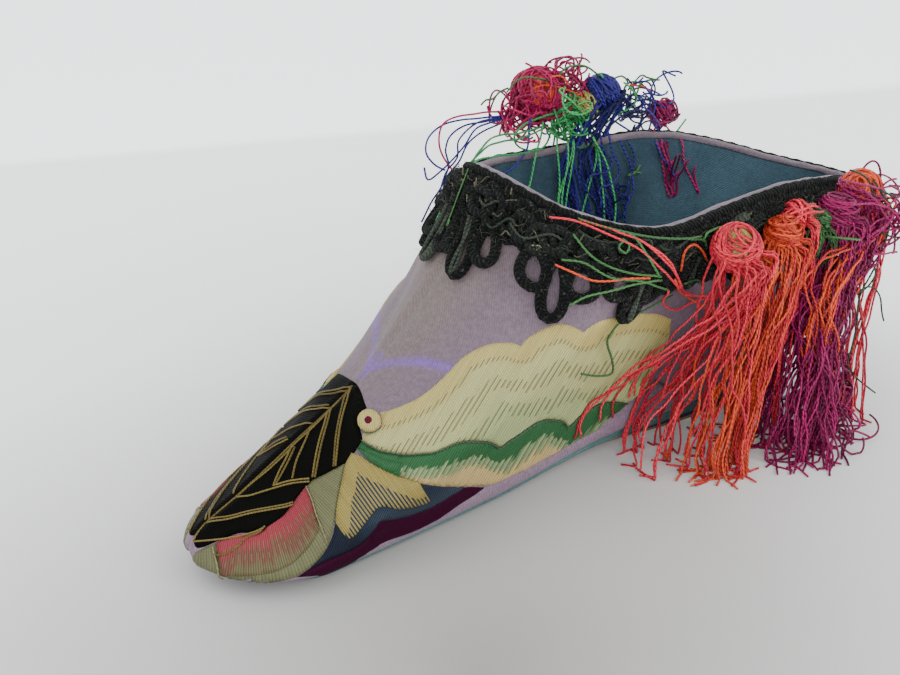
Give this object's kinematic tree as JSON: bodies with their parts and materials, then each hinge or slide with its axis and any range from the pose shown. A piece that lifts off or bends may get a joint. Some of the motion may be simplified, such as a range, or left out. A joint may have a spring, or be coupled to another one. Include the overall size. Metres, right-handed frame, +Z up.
{
  "type": "lotus shoe",
  "caption": "Low-sided cloth lotus shoe with a pointed toe, a layered flat sole, a pointed collar, a crocheted collar trim and hanging thread tassels.",
  "frame": {"origin": "on the floor below the middle of the heel", "axes": "+Z up, -Y towards the nose, +X towards the side that shows in the picture"},
  "size_m": [0.0677, 0.1477, 0.0587],
  "materials": {
    "outsole_leather": "worn brown sole leather",
    "navy_cloth": "navy cotton over paste board",
    "teal_cloth": "teal cotton over paste board",
    "lining_cloth": "blue-grey cotton twill",
    "upper_silk": "lilac silk twill with embroidery",
    "binding_silk": "pink-grey silk ribbon",
    "trim_wool": "black-green crocheted wool",
    "thread_coral": "twisted silk thread",
    "thread_orange": "twisted silk thread",
    "thread_green": "twisted silk thread",
    "thread_magenta": "twisted silk thread",
    "thread_ochre": "twisted silk thread",
    "thread_blue": "twisted silk thread"
  },
  "bodies": {
    "root": {"outsole": "outsole_leather", "midsole": "navy_cloth", "wedge": "teal_cloth", "insole": "lining_cloth", "upper": "upper_silk", "collar_binding": "binding_silk", "collar_trim": "trim_wool", "tassel_coral": "thread_coral", "tassel_orange": "thread_orange", "tassel_green": "thread_green", "tassel_magenta": "thread_magenta", "tassel_crimson": "thread_magenta", "tassel_far_magenta": "thread_magenta", "tassel_far_ochre": "thread_ochre", "tassel_far_blue": "thread_blue", "tassel_far_crimson": "thread_magenta"}
  },
  "joints": []
}
